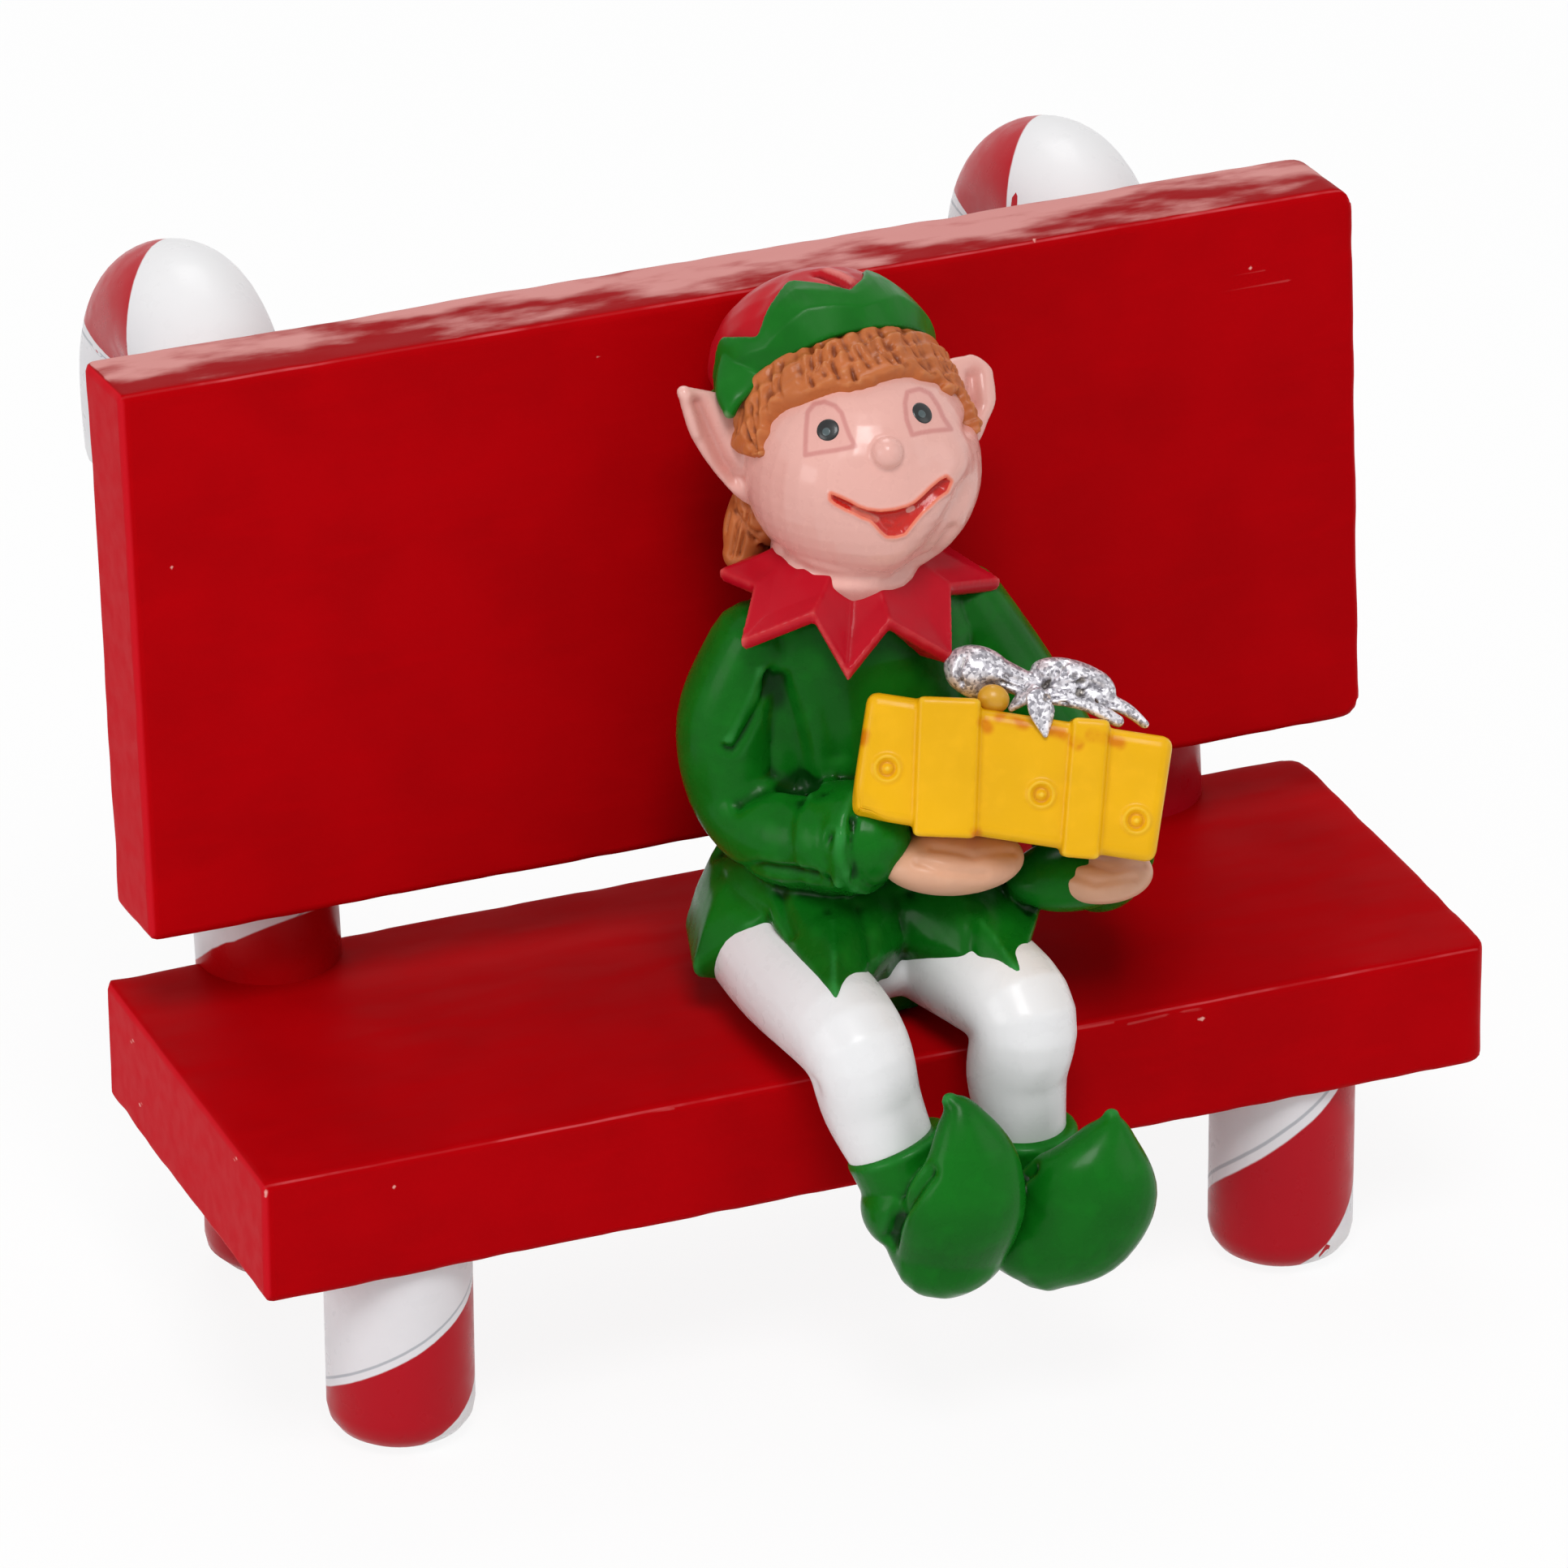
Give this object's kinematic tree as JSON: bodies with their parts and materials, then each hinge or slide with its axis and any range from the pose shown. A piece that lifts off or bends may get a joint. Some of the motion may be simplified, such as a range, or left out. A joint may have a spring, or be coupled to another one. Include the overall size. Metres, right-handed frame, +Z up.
{
  "type": "elf on bench figurine",
  "caption": "Seated elf with a gift box on its lap, on a board bench whose rear legs rise behind the back-board as candy-cane posts.",
  "frame": {"origin": "middle of the model's box, on the ground that the four feet stand on", "axes": "+X along the bench to the viewer's right, +Y to the rear, +Z up"},
  "size_m": [0.07, 0.057, 0.0593],
  "materials": {
    "red_paint": "satin",
    "green_paint": "satin"
  },
  "bodies": {
    "root": {"bench": "red_paint", "elf": "green_paint"}
  },
  "joints": []
}
